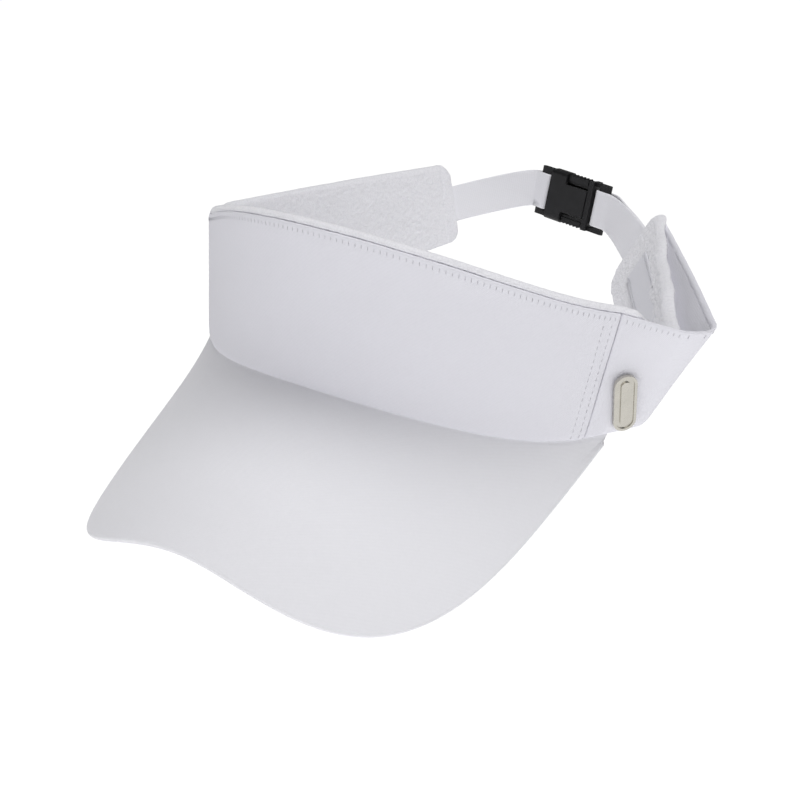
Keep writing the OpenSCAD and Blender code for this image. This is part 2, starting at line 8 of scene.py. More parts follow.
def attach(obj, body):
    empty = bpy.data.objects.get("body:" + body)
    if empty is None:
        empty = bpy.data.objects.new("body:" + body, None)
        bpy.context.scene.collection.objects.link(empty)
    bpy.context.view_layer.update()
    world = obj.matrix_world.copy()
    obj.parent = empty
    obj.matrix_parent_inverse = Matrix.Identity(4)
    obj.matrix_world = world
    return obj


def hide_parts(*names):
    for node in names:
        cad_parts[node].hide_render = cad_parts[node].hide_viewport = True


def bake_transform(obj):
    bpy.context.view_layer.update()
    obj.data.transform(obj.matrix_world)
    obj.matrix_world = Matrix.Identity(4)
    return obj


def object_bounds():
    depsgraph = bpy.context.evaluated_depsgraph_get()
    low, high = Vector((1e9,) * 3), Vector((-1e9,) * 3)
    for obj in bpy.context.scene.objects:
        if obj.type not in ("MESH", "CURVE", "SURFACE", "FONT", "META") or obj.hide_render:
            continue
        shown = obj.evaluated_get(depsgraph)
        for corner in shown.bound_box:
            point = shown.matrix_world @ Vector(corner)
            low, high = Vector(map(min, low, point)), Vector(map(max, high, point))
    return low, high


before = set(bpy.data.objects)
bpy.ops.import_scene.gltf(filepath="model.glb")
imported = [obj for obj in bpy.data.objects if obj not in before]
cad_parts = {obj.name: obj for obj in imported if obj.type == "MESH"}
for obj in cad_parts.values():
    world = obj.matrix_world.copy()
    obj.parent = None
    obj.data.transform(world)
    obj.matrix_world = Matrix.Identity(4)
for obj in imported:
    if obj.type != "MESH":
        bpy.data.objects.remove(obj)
cad_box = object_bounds()
rng = np.random.default_rng(7)

MM = 0.001

# ---- driving sizes, in millimetres and degrees, as in the CAD model -------------

BAND_FRONT = 95
FRONT_MID, FRONT_MID_TURN = 43, 27
FRONT_WING, FRONT_WING_TURN = 54, 25
SIDE_LENGTH = 126
FOLD_LEN = 6
LEFT_FOLD_FROM_SEAM, LEFT_FOLD_TURN = 20.5, 64
RIGHT_FOLD_TURN = 60
HEIGHT_FRONT, HEIGHT_SEAM, HEIGHT_FOLD, HEIGHT_END = 60.5, 48.5, 40, 30
TOP_DIP_LEFT, TOP_DIP_RIGHT, TOP_DIP_FOLD, TOP_SAG = 15.5, 17.5, 4, 12
FLARE_FRONT, FLARE_RIGHT, FLARE_LEFT, FLARE_FOLD, FLARE_END = 14, 5, 11, 24.5, 26
END_R = 5
SHELL_IN, SHELL_OUT = 1.4, 2.4
LINING_IN, LINING_OUT = 0.78, 1.18
TERRY_IN, TERRY_OUT = -2.3, -0.1
ROLL_OFF, ROLL_V = 4, 0.75
BRIM_LENGTH, BRIM_HALF_W, BRIM_SQUARE = 74, 81, 2.6
BRIM_SLOPE, BRIM_ARCH, BRIM_LIFT, BRIM_DROP = 0.52, 0.0079, 8.8, 1.35
BRIM_CONE, BRIM_REF = 0.266, 80
BRIM_HALF_T = 1.3
TIP_IN_POWER, TIP_UP_POWER, TIP_UP = 9, 15, 0.9
WEB_W, WEB_T = 16, 1.1
BUCKLE_L, BAR_D, BAR_FLAT = 40, 2.6, 3.6
BUCKLE_AT = (6.2, 87, -4.6)
BUCKLE_PITCH, BUCKLE_YAW = 3, -15
TAIL_LENGTH = 24

SEAM = FRONT_MID + FRONT_WING
END = SEAM + SIDE_LENGTH
LEFT_FOLD = SEAM + LEFT_FOLD_FROM_SEAM
BRIM_LEFT = SEAM + 10
BRIM_RIGHT = SEAM + 5
FOLD_T = (LEFT_FOLD_FROM_SEAM + FOLD_LEN / 2) / SIDE_LENGTH

LEFT_CHAIN = [
    (FRONT_MID, FRONT_MID_TURN),
    (FRONT_WING, FRONT_WING_TURN),
    (LEFT_FOLD_FROM_SEAM, 4),
    (FOLD_LEN, LEFT_FOLD_TURN),
    (END - LEFT_FOLD - FOLD_LEN, 3),
]
RIGHT_CHAIN = [
    (FRONT_MID, FRONT_MID_TURN),
    (FRONT_WING, FRONT_WING_TURN),
    (FOLD_LEN, RIGHT_FOLD_TURN),
    (END - SEAM - FOLD_LEN, 2),
]


# ---- the band's surface ----------------------------------------------------------


def smooth(t):
    return t * t * (3 - 2 * t)


def mix(a, b, t):
    return a + (b - a) * t


def unit(v):
    v = np.asarray(v, float)
    return v / np.linalg.norm(v, axis=-1, keepdims=True)


def walk(chain, d):
    """Plan point and heading after d along a chain of (length, turn) arcs, for an array of d."""
    d = np.asarray(d, float)
    x, y, a = np.zeros_like(d), np.full_like(d, -BAND_FRONT), np.zeros_like(d)
    px, py, heading, start = 0.0, -float(BAND_FRONT), 0.0, 0.0
    for i, (length, turn) in enumerate(chain):
        turn = math.radians(turn)
        r = length / turn
        last = i == len(chain) - 1
        inside = (d >= start) & (np.full(d.shape, last) | (d < start + length))
        h = heading + (d - start) / r
        x = np.where(inside, px + r * (np.sin(h) - math.sin(heading)), x)
        y = np.where(inside, py + r * (math.cos(heading) - np.cos(h)), y)
        a = np.where(inside, h, a)
        px += r * (math.sin(heading + turn) - math.sin(heading))
        py += r * (math.cos(heading) - math.cos(heading + turn))
        heading += turn
        start += length
    return x, y, a


def front_t(s):
    return np.clip(np.abs(s) / SEAM, 0, 1)


def rear_mix(s, at_seam, at_fold, at_end):
    """A value along a side panel; on the left it passes through its own value at the fold."""
    t = np.clip((np.abs(s) - SEAM) / SIDE_LENGTH, 0, 1)
    before, after = mix(at_seam, at_fold, t / FOLD_T), mix(at_fold, at_end, (t - FOLD_T) / (1 - FOLD_T))
    return np.where(np.asarray(s) < 0, mix(at_seam, at_end, t), np.where(t < FOLD_T, before, after))


def band_height(s):
    front = mix(HEIGHT_FRONT, HEIGHT_SEAM, front_t(s) ** 2)
    return np.where(np.abs(s) <= SEAM, front, rear_mix(s, HEIGHT_SEAM, HEIGHT_FOLD, HEIGHT_END))


def band_top(s):
    f = front_t(s)
    dip = np.where(np.asarray(s) < 0, TOP_DIP_RIGHT, TOP_DIP_LEFT)
    front = -dip * f**2 - TOP_SAG * f**2 * (1 - f**2)
    return np.where(np.abs(s) <= SEAM, front, rear_mix(s, -dip, -dip - TOP_DIP_FOLD, 0))


def band_lean(s):
    at_seam = np.where(np.asarray(s) < 0, FLARE_RIGHT, FLARE_LEFT)
    front = mix(FLARE_FRONT, at_seam, smooth(front_t(s)))
    return np.where(np.abs(s) <= SEAM, front, rear_mix(s, at_seam, FLARE_FOLD, FLARE_END))


def corner(s, d):
    """How far a rounded rear corner cuts in at s, for a layer that ends at d from the front centre."""
    k = np.clip(END_R - (d - np.abs(s)), 0, END_R)
    return END_R - np.sqrt(END_R**2 - k**2)


def band_pt(s, v, o):
    """Point of the band: s along its lower edge, + to the wearer's left; v up it, 0 to 1; o outward."""
    s, v, o = np.broadcast_arrays(np.asarray(s, float), np.asarray(v, float), np.asarray(o, float))
    d, g = np.abs(s), np.where(s < 0, -1.0, 1.0)
    xl, yl, al = walk(LEFT_CHAIN, d)
    xr, yr, ar = walk(RIGHT_CHAIN, d)
    left = s >= 0
    x, y, a = np.where(left, xl, xr), np.where(left, yl, yr), np.where(left, al, ar)
    h = band_height(s)
    r = h * v * np.tan(np.radians(band_lean(s))) + o
    return np.stack([g * x + g * np.sin(a) * r, y - np.cos(a) * r, band_top(s) - h * (1 - v)], -1)


def slack(s):
    """How far the terry cuts across each temple fold."""
    left = s >= 0
    centre = np.where(left, LEFT_FOLD + 8, SEAM + 6)
    reach, most = np.where(left, 30, 34), np.where(left, 12, 5)
    q = np.clip(1 - ((np.abs(s) - centre) / reach) ** 2, 0, 1)
    return most * q * q


def roll(s):
    """How far the left end of the sweatband is rolled down, 0 to 1."""
    s = np.asarray(s, float)
    rise = smooth(np.clip((s - SEAM - 4) / (LEFT_FOLD_FROM_SEAM + 4), 0, 1))
    return rise * np.clip((END - 6 - s) / (SIDE_LENGTH - 38), 0, 1)


def terry_top(s):
    return mix(1 + 0.8 / band_height(s), ROLL_V, roll(s))


def terry_pt(s, v, o):
    s = np.asarray(s, float)
    a = slack(s)
    o = o - ROLL_OFF * roll(s) * v / ROLL_V
    return (band_pt(s - a, v, o) + band_pt(s + a, v, o)) / 2


# ---- the brim's surface ------------------------------------------------------------

PHI_END = 88.8


def brim_side(phi):
    return np.where(phi < 0, -1.0, 1.0)


def brim_inner(phi):
    g = brim_side(phi)
    s = np.where(g < 0, BRIM_RIGHT, BRIM_LEFT) * phi / PHI_END
    return band_pt(s, 0, 0) - np.array([0, 0, BRIM_DROP])


def brim_bow(y):
    """How much stronger the arch is at y than beside the band."""
    return 1 - BRIM_CONE * (y + BAND_FRONT) / BRIM_REF


def brim_z(x, y):
    z0 = brim_inner(np.zeros(1))[0, 2]
    arch = BRIM_ARCH * x**2 * brim_bow(y) - BRIM_LIFT * (x / BRIM_REF) ** 4
    return z0 + BRIM_SLOPE * (y + BAND_FRONT) - arch


def brim_outer(phi):
    g = brim_side(phi)
    tip = brim_inner(g * PHI_END)
    c, q = np.abs(np.cos(np.radians(phi))), np.abs(np.sin(np.radians(phi)))
    r = (c**BRIM_SQUARE + q**BRIM_SQUARE) ** (-1 / BRIM_SQUARE)
    w = np.abs(phi) / PHI_END
    x = mix(g * BRIM_HALF_W * r * q, tip[..., 0], w**TIP_IN_POWER)
    y = mix(tip[..., 1], -BAND_FRONT - BRIM_LENGTH, r * c)
    rise = TIP_UP * (tip[..., 2] - brim_z(tip[..., 0], tip[..., 1])) * w**TIP_UP_POWER
    return np.stack([x, y, brim_z(x, y) + rise], -1)


def brim_up(x, y):
    dx = 2 * BRIM_ARCH * x * brim_bow(y) - 4 * BRIM_LIFT * x**3 / BRIM_REF**4
    dy = -BRIM_SLOPE - BRIM_ARCH * x**2 * BRIM_CONE / BRIM_REF
    return unit(np.stack([dx, dy, np.ones_like(x)], -1))


def brim_pt(phi, w, t, inset=0.0):
    """Point of the brim: w from 0 at the band to 1 at the outline, t above its middle."""
    phi, w, t = np.broadcast_arrays(np.asarray(phi, float), np.asarray(w, float), np.asarray(t, float))
    a, b = brim_inner(phi), brim_outer(phi)
    u = mix(inset / np.linalg.norm(b - a, axis=-1), 1.0, w)[..., None]
    p = mix(a, b, u)
    return p + brim_up(p[..., 0], p[..., 1]) * t[..., None]


def rim_pt(phi, e, t):
    """Point e beyond the brim's outline."""
    phi, e, t = np.broadcast_arrays(np.asarray(phi, float), np.asarray(e, float), np.asarray(t, float))
    p = brim_outer(phi)
    d = brim_outer(phi + 0.3) - brim_outer(phi - 0.3)
    n = unit(np.stack([d[..., 1], -d[..., 0]], -1))
    q = p[..., :2] + n * e[..., None]
    z = p[..., 2] + brim_z(q[..., 0], q[..., 1]) - brim_z(p[..., 0], p[..., 1])
    return np.concatenate([q, z[..., None]], -1) + brim_up(q[..., 0], q[..., 1]) * t[..., None]


# ---- the buckle's frame and the straps' runs -----------------------------------------

pitch, yaw = math.radians(BUCKLE_PITCH), math.radians(BUCKLE_YAW)
BUCKLE = np.array(Matrix.Rotation(yaw, 3, "Z") @ Matrix.Rotation(pitch, 3, "Y"))
BAR_OUT_X = BUCKLE_L / 2 - BAR_D / 2
BAR_X = BAR_OUT_X - BAR_FLAT
WEB_GAP = 0.15
STRAP_LEAD, BAR_LEAD = 8, 6
TURN_R = BAR_D / 2 + WEB_GAP + WEB_T / 2
TAB = 14
O_WEB = 0.08 + WEB_T / 2


def buckle_dir(p):
    return BUCKLE @ np.asarray(p, float)


def buckle_pt(p):
    return np.asarray(BUCKLE_AT) + buckle_dir(p)


def strap_mid(s):
    return band_pt(s, 0.5, O_WEB)


def strap_curve(side, t):
    a = strap_mid(side * END)
    d = buckle_pt([side * (BAR_OUT_X + 1.5), -TURN_R, 0])
    b = a + unit(a - strap_mid(side * (END - 2))) * STRAP_LEAD
    c = d + buckle_dir([side, 0, 0]) * BAR_LEAD
    return a * (1 - t) ** 3 + 3 * b * t * (1 - t) ** 2 + 3 * c * t * t * (1 - t) + d * t**3


def panel_up(side, back):
    s = side * (END - back)
    return unit(band_pt(s, 1, 0) - band_pt(s, 0, 0))


def strap_up(side, t):
    return unit(mix(panel_up(side, 0), buckle_dir([0, 0, 1]), smooth(min(1.0, max(0.0, t)))))


# ---- mesh helpers ------------------------------------------------------------------


def make_piece(name, verts, faces, body, material, fabric, stands_for=()):
    """A mesh object in metres from points in millimetres, riding on a body.

    fabric holds each point's place on the cloth.
    """
    mesh = bpy.data.meshes.new(name)
    mesh.from_pydata((np.asarray(verts, float) * MM).tolist(), [], faces)
    mesh.validate()
    layer = mesh.attributes.new("fabric_mm", "FLOAT_VECTOR", "POINT")
    layer.data.foreach_set("vector", np.asarray(fabric, np.float32).ravel())
    mesh.polygons.foreach_set("use_smooth", [True] * len(mesh.polygons))
    obj = bpy.data.objects.new(name, mesh)
    bpy.context.scene.collection.objects.link(obj)
    mesh.materials.append(material)
    if body:
        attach(obj, body)
    if stands_for:
        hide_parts(*stands_for)
    return obj


def tube_faces(m, k):
    """Quads of m rings of k points, closed at both ends by pairing points across each ring."""
    faces = []
    for j in range(m - 1):
        for i in range(k):
            a, b = j * k + i, j * k + (i + 1) % k
            faces.append((a, b, b + k, a + k))
    e = (m - 1) * k
    for i in range(k // 2 - 1):
        a, b, c, d = i, i + 1, k - 2 - i, k - 1 - i
        faces.append((d, c, b, a))
        faces.append((e + a, e + b, e + c, e + d))
    return faces


def stations(a, b, step, ends):
    """Places from a to b, closer together where the ends are rounded over."""
    n = max(2, int(math.ceil((b - a - 2 * ends) / step)))
    turn = [ends * (1 - math.cos(q)) for q in np.linspace(0, math.pi / 2, 5)[:-1]]
    body = list(np.linspace(a + ends, b - ends, n + 1))
    s = [a + q for q in turn] + body + [b - q for q in reversed(turn)]
    thick = [math.sin(q) for q in np.linspace(0, math.pi / 2, 5)[:-1]]
    k = thick + [1.0] * len(body) + thick[::-1]
    return np.array(s), np.maximum(np.array(k), 0.06)


def cloth_layer(surface, s, k, rows, inner, outer, lo, hi, dent):
    """Rings round a layer of cloth: up its outer face, over its top, down its inner face and under.

    inner and outer give the two faces' distances, and lo and hi the margins, at each place along the edge.
    """
    arc = np.linspace(-math.pi / 2, math.pi / 2, 9)
    rings, places = [], []
    h = band_height(s)
    v_face = np.linspace(0, 1, rows)
    columns = []
    for v in v_face:
        columns.append((v, 1.0, 0.0))
    for q in arc[1:-1]:
        columns.append((1.0, -math.sin(q), math.cos(q)))
    for v in v_face[::-1]:
        columns.append((v, -1.0, 0.0))
    for q in arc[1:-1]:
        columns.append((0.0, math.sin(q), -math.cos(q)))
    low, high = lo(s), hi(s)
    for v, face, beyond in columns:
        up = low + (h - low - high) * v
        t = (outer(s, up, h) - inner(s, up, h)) / 2
        mid = (outer(s, up, h) + inner(s, up, h)) / 2
        t = t * k
        up = up + beyond * t
        o = mid + face * t + dent(s, up, h)
        rings.append(surface(s, up / h, o))
        places.append(np.stack([s, up, np.full_like(s, face)], -1))
    return np.stack(rings, 1), np.stack(places, 1)


def cloth_piece(
    name, surface, a, b, step, rows, inner, outer, lo, hi, material, dent, stands_for, ends=0.5
):
    """A closed sheet of cloth from a to b along the edge, ends being how far its ends are rounded over."""
    s, k = stations(a, b, step, ends)
    ring, place = cloth_layer(surface, s, k, rows, inner, outer, lo, hi, dent)
    m, n = ring.shape[:2]
    return make_piece(
        name, ring.reshape(-1, 3), tube_faces(m, n), "root", material, place.reshape(-1, 3), stands_for
    )


# ---- value noise for the folds and the pile ------------------------------------------

NOISE = rng.random((256, 256))


def noise2(x, y):
    """Smooth noise from -1 to 1 with one cell to the unit."""
    x, y = np.asarray(x, float), np.asarray(y, float)
    xi, yi = np.floor(x).astype(int), np.floor(y).astype(int)
    fx, fy = smooth(x - xi), smooth(y - yi)
    a, b = NOISE[xi % 256, yi % 256], NOISE[(xi + 1) % 256, yi % 256]
    c, d = NOISE[xi % 256, (yi + 1) % 256], NOISE[(xi + 1) % 256, (yi + 1) % 256]
    return 2 * mix(mix(a, b, fx), mix(c, d, fx), fy) - 1


# ---- materials -------------------------------------------------------------------------


def new_material(name, color, roughness, **sockets):
    material = bpy.data.materials.new(name)
    material.use_nodes = True
    shader = material.node_tree.nodes["Principled BSDF"]
    shader.inputs["Base Color"].default_value = (*color, 1)
    shader.inputs["Roughness"].default_value = roughness
    for socket, value in sockets.items():
        shader.inputs[socket.replace("_", " ")].default_value = value
    return material, shader


def node(material, kind, **settings):
    n = material.node_tree.nodes.new(kind)
    for key, value in settings.items():
        setattr(n, key, value)
    return n


def link(material, a, b):
    material.node_tree.links.new(a, b)


def times(material, a, b):
    return math_node(material, "MULTIPLY", a, b)


def plus(material, a, b):
    return math_node(material, "ADD", a, b)


def math_node(material, operation, *values):
    n = node(material, "ShaderNodeMath", operation=operation)
    for i, v in enumerate(values):
        if isinstance(v, (int, float)):
            n.inputs[i].default_value = v
        else:
            link(material, v, n.inputs[i])
    return n.outputs[0]


def cloth_coordinates(material):
    """Sockets of the place on the cloth along and up it, in millimetres."""
    attribute = node(material, "ShaderNodeAttribute", attribute_name="fabric_mm")
    split = node(material, "ShaderNodeSeparateXYZ")
    link(material, attribute.outputs["Vector"], split.inputs[0])
    return attribute.outputs["Vector"], split.outputs["X"], split.outputs["Y"]


def tint(material, shader, source, low, high, a=0.3, b=0.7):
    """Colours the surface between two tones by source."""
    ramp = node(material, "ShaderNodeValToRGB")
    ramp.color_ramp.elements[0].position = a
    ramp.color_ramp.elements[0].color = (*low, 1)
    ramp.color_ramp.elements[1].position = b
    ramp.color_ramp.elements[1].color = (*high, 1)
    link(material, source, ramp.inputs[0])
    link(material, ramp.outputs[0], shader.inputs["Base Color"])


def bump(material, shader, height, distance):
    """Relief whose full height is distance, in metres."""
    n = node(material, "ShaderNodeBump")
    n.inputs["Strength"].default_value = 1.0
    n.inputs["Distance"].default_value = distance
    link(material, height, n.inputs["Height"])
    link(material, n.outputs[0], shader.inputs["Normal"])


def fine_noise(material, vector, scale, detail=3.0, rough=0.55):
    n = node(material, "ShaderNodeTexNoise")
    n.inputs["Scale"].default_value = scale
    n.inputs["Detail"].default_value = detail
    n.inputs["Roughness"].default_value = rough
    link(material, vector, n.inputs["Vector"])
    return n.outputs[0]


def twill(name, light, dark, pitch_mm=0.55):
    """Cotton twill: diagonal ribs crossed by the yarn, over faint unevenness."""
    material, shader = new_material(
        name, light, 0.86, Sheen_Weight=0.12, Sheen_Roughness=0.5, Specular_IOR_Level=0.25
    )
    vector, x, y = cloth_coordinates(material)
    k = math.pi / pitch_mm
    rib = math_node(material, "SINE", times(material, plus(material, x, y), k))
    yarn = math_node(material, "SINE", times(material, math_node(material, "SUBTRACT", x, y), k * 0.8))
    weave = plus(material, math_node(material, "ABSOLUTE", rib), times(material, yarn, 0.22))
    slub = fine_noise(material, vector, 0.9, 4)
    height = plus(material, weave, times(material, slub, 0.7))
    # Painted shade in part: the tone is darker in the grooves between the twill ribs, from the same relief
    # as the bump; the slub share is random yarn tone.
    tone = plus(material, times(material, weave, 0.35), times(material, slub, 0.65))
    tint(material, shader, tone, dark, light, 0.2, 0.75)
    bump(material, shader, height, 0.00004)
    return material


def terry(name, light, dark):
    """Looped pile: clumps of loops over a soft ground."""
    material, shader = new_material(
        name, light, 0.95, Sheen_Weight=0.35, Sheen_Roughness=0.6, Specular_IOR_Level=0.12
    )
    vector = cloth_coordinates(material)[0]
    loops = node(material, "ShaderNodeTexVoronoi")
    loops.inputs["Scale"].default_value = 1.7
    link(material, vector, loops.inputs["Vector"])
    round_top = math_node(material, "SUBTRACT", 1.0, loops.outputs["Distance"])
    fuzz = fine_noise(material, vector, 3.5, 4, 0.7)
    height = plus(material, round_top, times(material, fuzz, 0.6))
    # Painted shade in part: the pile's tone follows its height, darker in the hollows between the loop
    # clumps, with random fuzz tone mixed in.
    tint(material, shader, height, dark, light, 0.35, 1.0)
    bump(material, shader, height, 0.00014)
    return material


def ribs(material, place, pitch_mm):
    wave = math_node(material, "SINE", times(material, place, math.pi / pitch_mm))
    return math_node(material, "ABSOLUTE", wave)


def webbing_material(name, light, dark):
    """Flat webbing: fine cross ribs with a lengthwise yarn."""
    material, shader = new_material(
        name, light, 0.7, Sheen_Weight=0.15, Sheen_Roughness=0.4, Specular_IOR_Level=0.3
    )
    vector, x, y = cloth_coordinates(material)
    both = times(material, ribs(material, x, 0.9), ribs(material, y, 0.7))
    grain = fine_noise(material, vector, 1.4, 3)
    height = plus(material, both, times(material, grain, 0.35))
    # Painted shade in part: the tone follows the relief, darker between the cross ribs, with random grain
    # tone mixed in.
    tint(material, shader, height, dark, light, 0.1, 0.9)
    bump(material, shader, height, 0.00004)
    return material


def thread_material(name, light, dark):
    material, shader = new_material(name, light, 0.6, Sheen_Weight=0.2, Specular_IOR_Level=0.35)
    x, y = cloth_coordinates(material)[1:]
    twist = math_node(material, "SINE", times(material, plus(material, x, y), 9.0))
    # Painted shade: the thread is coloured darker in the grooves of its twist.
    tint(material, shader, twist, dark, light, 0.0, 0.8)
    bump(material, shader, twist, 0.00004)
    return material


def plastic(name, color, roughness):
    """Satin moulded plastic with a fine spark-eroded grain and rubbed variation."""
    material, shader = new_material(name, color, roughness, Specular_IOR_Level=0.3)
    where = node(material, "ShaderNodeTexCoord").outputs["Object"]
    grain = fine_noise(material, where, 2600, 2)
    wear = fine_noise(material, where, 160, 4)
    tint(material, shader, wear, tuple(c * 0.8 for c in color), tuple(c * 1.35 for c in color), 0.3, 0.75)
    tone = node(material, "ShaderNodeMapRange")
    tone.inputs["To Min"].default_value = roughness - 0.07
    tone.inputs["To Max"].default_value = roughness + 0.1
    link(material, wear, tone.inputs["Value"])
    link(material, tone.outputs[0], shader.inputs["Roughness"])
    bump(material, shader, grain, 0.00003)
    return material


def metal(name, color, roughness, scratch=0.000004):
    material, shader = new_material(name, color, roughness, Metallic=1.0)
    where = node(material, "ShaderNodeTexCoord").outputs["Object"]
    haze = fine_noise(material, where, 240, 4)
    tone = node(material, "ShaderNodeMapRange")
    tone.inputs["To Min"].default_value = roughness * 0.6
    tone.inputs["To Max"].default_value = roughness * 1.6
    link(material, haze, tone.inputs["Value"])
    link(material, tone.outputs[0], shader.inputs["Roughness"])
    tint(material, shader, haze, tuple(c * 0.9 for c in color), color)
    bump(material, shader, fine_noise(material, where, 1500, 3), scratch)
    return material


def felt(name, color):
    material, shader = new_material(name, color, 0.9, Specular_IOR_Level=0.15)
    where = node(material, "ShaderNodeTexCoord").outputs["Object"]
    fibre = fine_noise(material, where, 1200, 5, 0.7)
    tint(material, shader, fibre, tuple(c * 0.85 for c in color), color)
    bump(material, shader, fibre, 0.00006)
    return material


WHITE = (0.82, 0.815, 0.87)
TWILL = twill("band_twill", WHITE, (0.79, 0.785, 0.842))
BRIM_TWILL = twill("brim_twill", (0.89, 0.887, 0.925), (0.865, 0.862, 0.9), 0.5)
TERRY = terry("terry_pile", (0.9, 0.896, 0.935), (0.82, 0.816, 0.86))
WEBBING = webbing_material("strap_webbing", (0.88, 0.877, 0.915), (0.84, 0.837, 0.88))
THREAD = thread_material("sewing_thread", (0.83, 0.825, 0.88), (0.8, 0.795, 0.85))
BLACK = plastic("buckle_black", (0.011, 0.011, 0.012), 0.4)
SILVER = metal("badge_silver", (0.56, 0.54, 0.49), 0.24)
PLAIN_METAL = metal("backplate_steel", (0.6, 0.6, 0.6), 0.4)
RIBBON = webbing_material("label_ribbon", (0.82, 0.82, 0.87), (0.78, 0.78, 0.83))
FELT = felt("interlining_felt", (0.8, 0.8, 0.82))
LINING = twill("lining_cloth", (0.84, 0.836, 0.885), (0.81, 0.806, 0.855), 0.8)
BOARD = plastic("brim_board_plastic", (0.7, 0.7, 0.7), 0.5)

# ---- the band's cloth --------------------------------------------------------------------

STITCH_ROW = 2.5
SEAM_ROWS = (2.6, 5.6)
# How deep each piece of a panel's relief goes
ROW_DEPTH, SEAM_ROW_DEPTH, SEAM_DEPTH = 0.04, 0.03, 0.16
PUCKER, SLACK, UNEVEN, TUCK = 0.07, 0.55, 0.06, 0.5


def valley(x, half_width):
    """A smooth groove's shape across x, 1 at its middle."""
    return np.exp(-((x / half_width) ** 2))


def panel_dent(s, up, h):
    """Relief of a panel: a groove under each stitch row, slack between, and a tuck at the brim seam."""
    d = np.abs(s)
    under_row = h - up - STITCH_ROW
    groove = -ROW_DEPTH * valley(under_row, 1.2)
    for row in SEAM_ROWS:
        groove = groove - SEAM_ROW_DEPTH * valley(d - SEAM + row, 0.7)
    seam = -SEAM_DEPTH * valley(d - SEAM, 1.2)
    puckers = PUCKER * noise2(s * 0.3, 3.0) * valley(under_row, 3.0)
    slow = SLACK * noise2(s / 38 + 11, up / 30 + 5) * np.sin(np.clip(up / h, 0, 1) * math.pi)
    fine = UNEVEN * noise2(s / 7, up / 8 + 40)
    tuck = -TUCK * np.exp(-np.clip(up, 0, None) / 1.3)
    return groove + seam + puckers + slow + fine + tuck


HEM = 1.6
# How much of the terry's edge shows above the panels
EDGE_SHOWN = 1.1


def shell_outer(s, up, h):
    return np.full_like(s, SHELL_OUT) + 0 * up


def shell_inner(s, up, h):
    """The panel's inner face, which thickens at the turned-in top edge."""
    return mix(SHELL_IN, LINING_IN - 0.1, smooth(np.clip((up - h + 2 * HEM) / HEM, 0, 1)))


def panel_low(s):
    return corner(s, END) + 0.1


def panel_high(s):
    """Leaves the terry's edge showing just above the panel's."""
    return corner(s, END) + EDGE_SHOWN


front_cloth = cloth_piece(
    "front_panel_cloth", band_pt, -SEAM + 0.1, SEAM - 0.1, 1.1, 60, shell_inner, shell_outer,
    panel_low, panel_high, TWILL, panel_dent, ["front_panel"],
)
left_cloth = cloth_piece(
    "left_panel_cloth", band_pt, SEAM + 0.1, END, 0.9, 50, shell_inner, shell_outer,
    panel_low, panel_high, TWILL, panel_dent, ["left_side_panel"],
)
right_cloth = cloth_piece(
    "right_panel_cloth", band_pt, -END, -SEAM - 0.1, 0.9, 50, shell_inner, shell_outer,
    panel_low, panel_high, TWILL, panel_dent, ["right_side_panel"],
)


def level(o):
    return lambda s, up, h: np.full_like(s, o) + 0 * up


def lining_dent(s, up, h):
    return 0.12 * noise2(s / 9 + 20, up / 9 + 7)


lining_cloth = cloth_piece(
    "left_lining_cloth", band_pt, SEAM + 7, END - 18, 1.2, 30, level(LINING_IN), level(LINING_OUT),
    lambda s: 8 + 0 * s, lambda s: 1.4 + 0 * s, LINING, lining_dent, ["left_interlining"],
)

END_ROW = 6.5
# Heights of the terry's relief
LOOP, SMALL_LOOP, WAVE, SEWN, CRUMPLE = 0.2, 0.17, 0.22, 0.55, 0.8
# How far the terry swells over the panel's edge, and how its rolled end is padded
SWELL, PAD_LOW, PAD_TOP, PAD_END = 1.9, 0.3, 2.0, 0.45


def pile(s, up, h):
    """The terry's relief: loops about a millimetre apart, slow waves, and a sewn line near the right end."""
    loops = LOOP * noise2(s, up) + SMALL_LOOP * noise2(s * 2.2 + 70, up * 2.2)
    waves = WAVE * noise2(s / 13 + 30, up / 13)
    sewn = SEWN * valley(s + END - END_ROW, 0.7)
    crumple = roll(s) * CRUMPLE * noise2(s / 11 + 5, up / 16 + 3)
    return loops + waves + sewn + crumple


def puff(s, up):
    """How much thicker the rolled end stands, most of it along its soft top ridge."""
    v = np.clip(up / (band_height(s) * terry_top(s)), 0, 1)
    along = roll(s) + PAD_END * smooth(np.clip((s - LEFT_FOLD) / 30, 0, 1))
    return along * (PAD_LOW + PAD_TOP * v * v)


def terry_inner(s, up, h):
    return TERRY_IN - puff(s, up)


def terry_outer(s, up, h):
    """The outer face, which swells over the panel's edge where the terry stands above it."""
    swell = SWELL * smooth(np.clip((up - h + 1.3) / 1.7, 0, 1)) * (1 - np.clip(4 * roll(s), 0, 1))
    return TERRY_OUT - 0.15 + swell


SOFT_R = 11


def soft_corner(s):
    """The terry's rounder lower corner at its left end."""
    k = np.clip(s - (END - 1) + SOFT_R, 0, SOFT_R)
    return SOFT_R - np.sqrt(SOFT_R**2 - k**2)


def terry_low(s):
    return 1.5 + np.maximum(corner(s, END - 1), soft_corner(s))


def terry_high(s):
    wave = 1.3 * np.clip(roll(s) * 2.5, 0, 1) * noise2(s / 13 + 44, 8.0)
    return band_height(s) * (1 - terry_top(s)) + corner(s, END - 1) + 0.6 + wave


terry_cloth = cloth_piece(
    "terry_sweatband", terry_pt, -END + 1, END - 1, 0.6, 90, terry_inner, terry_outer,
    terry_low, terry_high, TERRY, pile, ["sweatband"], ends=1.0,
)

# ---- the brim's covers ---------------------------------------------------------------------

# Heights of the points on the allowance that is sewn up inside the band
FLANGE_UPS = (5.0, 3.5, 2.0, 0.8)
COVER_T, RIM_GAP, COVER_INSET = 0.45, 0.02, 0.3


